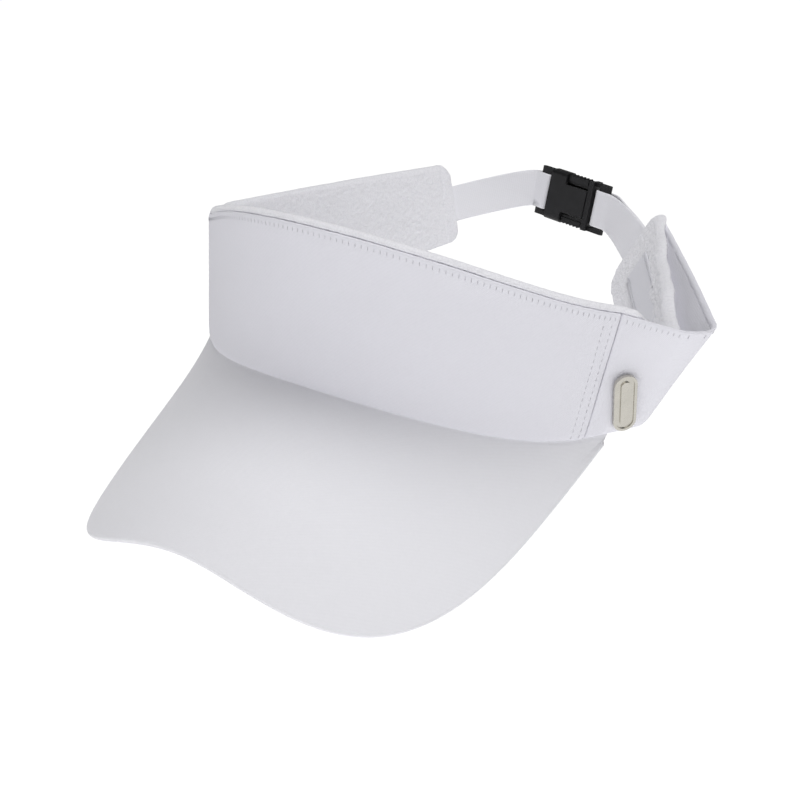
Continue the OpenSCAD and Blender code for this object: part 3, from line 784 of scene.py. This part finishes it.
def brim_cover(name, side, stands_for):
    """A cover from the band out over the board and round half of its rim, as a closed sheet."""
    phis = PHI_END * np.linspace(-1, 1, 241)
    t_out, t_in, middle = side * BRIM_HALF_T, side * (BRIM_HALF_T - COVER_T), side * RIM_GAP
    rows = np.linspace(0, 1, 44)
    outer_arc = np.linspace(0, math.pi / 2, 8)
    columns, places = [], []

    def add(p, face):
        columns.append(p)
        places.append(np.stack([p[:, 0], p[:, 1], np.full(len(p), face)], -1))

    def relief(w):
        slow = noise2(phis / 26 + 60, w * 2.2) * math.sin(w * math.pi)
        return 0.05 * noise2(phis / 3.0, w * 22 + 9) + 0.35 * slow

    seam_s = np.where(phis < 0, BRIM_RIGHT, BRIM_LEFT) * phis / PHI_END
    flange = (0.66, 0.44) if side > 0 else (0.06, 0.30)

    def add_flange(o, ups, face):
        """The allowance that is sewn up inside the band."""
        for up in ups:
            add(band_pt(seam_s, up / band_height(seam_s), o), face)

    add_flange(flange[0], FLANGE_UPS, 1)
    for w in rows:
        add(brim_pt(phis, w, t_out + relief(w) * 0.6, COVER_INSET), 1)
    for q in outer_arc[1:]:
        add(rim_pt(phis, 0.8 * math.sin(q), mix(middle, t_out, math.cos(q))), 1)
    add(rim_pt(phis, 0.3, middle), -1)
    add(rim_pt(phis, 0.25, t_in), -1)
    for w in rows[::-1]:
        add(brim_pt(phis, w, t_in, COVER_INSET), -1)
    add_flange(flange[1], FLANGE_UPS[::-1], -1)
    if len(columns) % 2:
        add((columns[-1] + columns[0]) / 2, -1)
    ring, place = np.stack(columns, 1), np.stack(places, 1)
    faces = tube_faces(*ring.shape[:2])
    if side < 0:
        faces = [f[::-1] for f in faces]
    return make_piece(
        name, ring.reshape(-1, 3), faces, "root", BRIM_TWILL, place.reshape(-1, 3), stands_for
    )


brim_top = brim_cover("brim_top_cloth", 1, ["brim_top_cover"])
brim_under = brim_cover("brim_under_cloth", -1, ["brim_under_cover"])

# ---- stitches --------------------------------------------------------------------------------


def stitch_mesh(places, length, radius, lift=0.06):
    """One short, slightly arched thread at each (centre, along, outward), as a joined mesh."""
    verts, faces, fabric = [], [], []
    k = 8
    ts = np.linspace(-1, 1, 9)
    for centre, along, out in places:
        across = unit(np.cross(along, out))
        start = len(verts)
        for t in ts:
            thick = radius * math.sqrt(max(0.02, 1 - abs(t) ** 3))
            base = centre + along * (t * length / 2) + out * (lift * (1 - t * t) - 0.35 * t**4 * radius)
            for q in np.linspace(0, 2 * math.pi, k, endpoint=False):
                twist = 1 + 0.12 * math.sin(3 * q + t * 9)
                verts.append(base + (across * math.cos(q) + out * math.sin(q)) * thick * twist)
                fabric.append((t * length, q, 0))
        for f in tube_faces(len(ts), k):
            faces.append(tuple(start + i for i in f))
    return verts, faces, fabric


def stitch_piece(name, places, length, radius, body, stands_for=(), lift=0.03):
    verts, faces, fabric = stitch_mesh(places, length, radius, lift)
    return make_piece(name, verts, faces, body, THREAD, fabric, stands_for=stands_for)


def frame_on(surface, s, v, o, direction):
    """Centre, direction along and outward direction at a point of the band; direction is 's' or 'v'."""
    s, v = float(s), float(v)
    p = surface(np.array([s]), v, o)[0]
    ds = surface(np.array([s + 0.2]), v, o)[0] - surface(np.array([s - 0.2]), v, o)[0]
    dv = surface(np.array([s]), v + 0.01, o)[0] - surface(np.array([s]), v - 0.01, o)[0]
    out = unit(np.cross(ds, dv))
    if (surface(np.array([s]), v, o + 1)[0] - p) @ out < 0:
        out = -out
    return p, unit(ds if direction == "s" else dv), out


def ticks_along(a, b, below_top, pitch_mm):
    """Short upright stitches of an edge seam, at each step along it."""
    places = []
    for s in np.arange(a + pitch_mm / 2, b, pitch_mm):
        h = float(band_height(np.array(s)))
        up = h - below_top
        o = SHELL_OUT + float(panel_dent(np.array(s), np.array(up), np.array(h))) + 0.02
        places.append(frame_on(band_pt, s, up / h, o, "v"))
    return places


def row_up(s, lo, hi, pitch_mm):
    places = []
    h = float(band_height(np.array(s)))
    for up in np.arange(lo, h - hi, pitch_mm):
        o = SHELL_OUT + float(panel_dent(np.array(s), np.array(up), np.array(h))) - 0.02
        places.append(frame_on(band_pt, s, up / h, o, "v"))
    return places


PITCH = 2.5
EDGE_PITCH = 1.9
STITCH_L, STITCH_R = 1.8, 0.1
TICK_L, TICK_R = 1.7, 0.09
stitch_piece(
    "top_edge_stitches",
    ticks_along(-END + END_R, -SEAM - 1, STITCH_ROW, EDGE_PITCH)
    + ticks_along(-SEAM + 1, SEAM - 1, STITCH_ROW, EDGE_PITCH)
    + ticks_along(SEAM + 1, END - END_R, STITCH_ROW, EDGE_PITCH),
    TICK_L, TICK_R, "root", ["top_edge_thread"],
)
stitch_piece(
    "left_seam_stitches", [p for r in SEAM_ROWS for p in row_up(SEAM - r, 1.2, 4.2, PITCH)],
    STITCH_L, STITCH_R, "root", ["left_seam_thread"],
)
stitch_piece(
    "right_seam_stitches", [p for r in SEAM_ROWS for p in row_up(-SEAM + r, 1.2, 4.2, PITCH)],
    STITCH_L, STITCH_R, "root", ["right_seam_thread"],
)

# ---- straps ------------------------------------------------------------------------------------


def strap_run(side, back_t, n_curve=40, n_turn=24):
    """Centre points and width directions of the webbing, from inside the panel round the bar and back."""
    backs = np.linspace(TAB, 0.5, 10)
    points = [strap_mid(side * (END - k)) for k in backs]
    ups = [panel_up(side, k) for k in backs]
    for t in np.linspace(0, 1, n_curve + 1):
        points.append(strap_curve(side, t))
        ups.append(strap_up(side, t))
    for q in np.radians(np.linspace(-90, 90, n_turn + 1)):
        points.append(buckle_pt([side * (BAR_X - TURN_R * math.cos(q)), TURN_R * math.sin(q), 0]))
        ups.append(buckle_dir([0, 0, 1]))
    for t in np.linspace(1, back_t, int(n_curve * (1 - back_t)) + 1):
        spread = mix(WEB_T + 0.2, 2 * TURN_R, smooth(min(1.0, max(0.0, (t - 0.55) / 0.45))))
        tangent = unit(strap_curve(side, t + 0.01) - strap_curve(side, t - 0.01))
        out = unit(np.cross(strap_up(side, t), tangent)) * -side
        points.append(strap_curve(side, t) + out * spread)
        ups.append(strap_up(side, t))
    return np.array(points), np.array(ups)


def webbing_piece(name, side, back_t, stands_for, body):
    points, ups = strap_run(side, back_t)
    n = len(points)
    walked = np.concatenate([[0], np.cumsum(np.linalg.norm(np.diff(points, axis=0), axis=1))])
    half_w, half_t = WEB_W / 2, WEB_T / 2
    profile = []
    flat = np.linspace(-1, 1, 25)
    for f in flat:
        profile.append((f * (half_w - half_t), half_t))
    for q in np.radians(np.linspace(90, -90, 9)[1:-1]):
        profile.append((half_w - half_t + half_t * math.cos(q), half_t * math.sin(q)))
    for f in flat[::-1]:
        profile.append((f * (half_w - half_t), -half_t))
    for q in np.radians(np.linspace(-90, -270, 9)[1:-1]):
        profile.append((-half_w + half_t + half_t * math.cos(q), half_t * math.sin(q)))
    verts, fabric = [], []
    for i in range(n):
        t = unit(points[min(i + 1, n - 1)] - points[max(i - 1, 0)])
        w = unit(ups[i] - t * (t @ ups[i]))
        o = unit(np.cross(w, t))
        for a, b in profile:
            weave = 0.04 * math.sin(a * math.pi * 1.6) * (1 if b > 0 else -1)
            verts.append(points[i] + w * a + o * (b + weave))
            fabric.append((walked[i], a, b))
    faces = tube_faces(n, len(profile))
    return make_piece(name, verts, faces, body, WEBBING, fabric, stands_for=stands_for)


right_reach = float(np.linalg.norm(strap_curve(-1, 1) - strap_curve(-1, 0)))
webbing_piece("left_strap_webbing", 1, 0.09, ["left_strap"], "root")
right_strap = webbing_piece("right_strap_webbing", -1, 1 - TAIL_LENGTH / right_reach, ["right_strap"], None)
tuple(strap_mid(-END) * MM)
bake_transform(right_strap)


TACK_AT = (4.8, 11.8)
TACK_PITCH = 0.42


def tack(side, stands_for, name):
    """Bar tacks that hold the webbing's end: dense stitches across two short bars."""
    places = []
    for d in TACK_AT:
        s = side * (END - d)
        h = float(band_height(np.array(s)))
        for up in np.arange(7.4, h - 7.2, TACK_PITCH):
            o = SHELL_OUT + float(panel_dent(np.array(s), np.array(up), np.array(h))) + 0.12
            places.append(frame_on(band_pt, s, up / h, o, "s"))
    return stitch_piece(name, places, 1.7, 0.24, "root", stands_for)


tack(1, ["left_strap_tack"], "left_tack_stitches")
tack(-1, ["right_strap_tack"], "right_tack_stitches")

# ---- label ---------------------------------------------------------------------------------------

LABEL_L, LABEL_W = 52, 13
LABEL_B = END - 20
LABEL_A = LABEL_B - LABEL_L
LABEL_V = (0.36, 0.36 + LABEL_W / 34)
LABEL_T = 0.4
# The ribbon's weave is this many times finer than the webbing's
RIBBON_SCALE = 2.2


def label_surface(s, v, o):
    return terry_pt(s, mix(LABEL_V[0], LABEL_V[1], v), o)


def label_back(s):
    """Distance of the label's back, just clear of the pile."""
    return TERRY_IN - puff(s, 0.5 * band_height(s)) - LABEL_T


def blank_label():
    s = stations(LABEL_A, LABEL_B, 0.8, 0.3)[0]
    rows = np.linspace(0, 1, 22)
    curl = 0.25 * noise2(s / 7, 2.0)
    back = label_back(s)
    ring = [label_surface(s, v, back - LABEL_T + curl * abs(v - 0.5)) for v in rows]
    ring += [label_surface(s, v, back + curl * abs(v - 0.5)) for v in rows[::-1]]
    place = [
        np.stack([s * RIBBON_SCALE, np.full_like(s, v * LABEL_W * RIBBON_SCALE), np.ones_like(s)], -1)
        for v in (*rows, *rows[::-1])
    ]
    ring, place = np.stack(ring, 1), np.stack(place, 1)
    faces = [f[::-1] for f in tube_faces(*ring.shape[:2])]
    return make_piece(
        "blank_label_cloth", ring.reshape(-1, 3), faces, "root", RIBBON, place.reshape(-1, 3),
        ["blank_label"],
    )


label_cloth = blank_label()
label_places = []
for edge_v in (0.09, 0.91):
    for s in np.arange(LABEL_A + 1.5, LABEL_B - 1, 2.2):
        p, along, out = frame_on(label_surface, s, edge_v, float(label_back(s)) - LABEL_T - 0.04, "s")
        label_places.append((p, along, -out))
stitch_piece("label_stitches", label_places, 1.6, 0.17, "root", ["label_thread"], lift=0.08)

# ---- hard parts and hidden layers: finishes on the CAD meshes -------------------------------------


def finish_node(name, material, width=0.0):
    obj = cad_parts[name]
    obj.data.materials.clear()
    obj.data.materials.append(material)
    if width:
        bevel = obj.modifiers.new("round_edges", "BEVEL")
        bevel.width = width * MM
        bevel.segments = 3
        bevel.limit_method = "ANGLE"
        bevel.angle_limit = math.radians(35)
        bevel.harden_normals = False
    return obj


for part in ("buckle_socket", "buckle_plug", "upper_release_arm", "lower_release_arm"):
    finish_node(part, BLACK, 0.3)
finish_node("badge", SILVER, 0.18)
finish_node("badge_backplate", PLAIN_METAL)
for part in ("front_interlining", "right_interlining"):
    finish_node(part, FELT)
finish_node("brim_board", BOARD)

# ---- stage, light and camera -------------------------------------------------------------------------

VIEW_AZIMUTH, VIEW_ELEVATION, VIEW_ROLL = 28.7, 17.49, 7.83
VIEW_LENS, SENSOR = 62.0, 36.0
VIEW_DISTANCE = 0.5456
VIEW_TARGET = Vector((-0.0011, -0.0350, -0.0771))


def add_camera():
    az, el, roll = (math.radians(a) for a in (VIEW_AZIMUTH, VIEW_ELEVATION, VIEW_ROLL))
    back = Vector((math.sin(az) * math.cos(el), -math.cos(az) * math.cos(el), math.sin(el)))
    right = Vector((math.cos(az), math.sin(az), 0))
    up = back.cross(right)
    right, up = right * math.cos(roll) + up * math.sin(roll), up * math.cos(roll) - right * math.sin(roll)
    data = bpy.data.cameras.new("view")
    data.sensor_width = SENSOR
    data.lens = VIEW_LENS
    data.clip_start = 0.01
    camera = bpy.data.objects.new("view", data)
    turn = Matrix((right, up, back)).transposed().to_4x4()
    camera.matrix_world = Matrix.Translation(VIEW_TARGET + back * VIEW_DISTANCE) @ turn
    bpy.context.scene.collection.objects.link(camera)
    bpy.context.scene.camera = camera


def add_area(name, place, size, power, aim=(0, -0.03, -0.06)):
    data = bpy.data.lights.new(name, "AREA")
    data.shape = "DISK"
    data.size = size
    data.energy = power
    lamp = bpy.data.objects.new(name, data)
    lamp.location = place
    lamp.rotation_euler = (Vector(aim) - Vector(place)).to_track_quat("-Z", "Y").to_euler()
    bpy.context.scene.collection.objects.link(lamp)
    return lamp


STAGE_GLOW = 1.0
STAGE_R, STAGE_BEND, STAGE_WALL = 6.0, 0.5, 0.9
WORLD_GLOW = 0.06


def add_stage():
    """A white floor that curves up into a white wall all round, far from the part."""
    mesh = bpy.data.meshes.new("floor")
    z = cad_box[0][2] - 0.004
    profile = [(STAGE_R, 0.0)]
    for q in np.linspace(0, math.pi / 2, 13)[1:]:
        profile.append((STAGE_R + STAGE_BEND * math.sin(q), STAGE_BEND * (1 - math.cos(q))))
    profile.append((STAGE_R + STAGE_BEND, STAGE_WALL))
    around = 64
    turns = np.arange(around) * 2 * math.pi / around
    verts, faces = [(0.0, 0.0, z)], []
    for r, rise in profile:
        verts += [(r * math.cos(q), r * math.sin(q), z + rise) for q in turns]
    for i in range(around):
        k = (i + 1) % around
        faces.append((0, 1 + i, 1 + k))
        for j in range(len(profile) - 1):
            a, b = 1 + j * around + i, 1 + j * around + k
            faces.append((a, a + around, b + around, b))
    mesh.from_pydata(verts, [], faces)
    floor = bpy.data.objects.new("floor", mesh)
    bpy.context.scene.collection.objects.link(floor)
    material, shader = new_material("floor_white", (0.12, 0.12, 0.12), 0.95, Specular_IOR_Level=0.0)
    shader.inputs["Emission Color"].default_value = (1, 1, 1, 1)
    shader.inputs["Emission Strength"].default_value = STAGE_GLOW
    mesh.materials.append(material)


add_camera()
add_stage()
world = bpy.data.worlds.new("studio")
world.use_nodes = True
world.node_tree.nodes["Background"].inputs[0].default_value = (1, 1, 1, 1)
world.node_tree.nodes["Background"].inputs[1].default_value = WORLD_GLOW
bpy.context.scene.world = world
add_area("top", (0.1, -0.1, 1.6), 1.1, 18.5)
add_area("key", (0.75, -1.1, 0.4), 0.9, 3.3)
bpy.context.scene.view_settings.view_transform = "Standard"
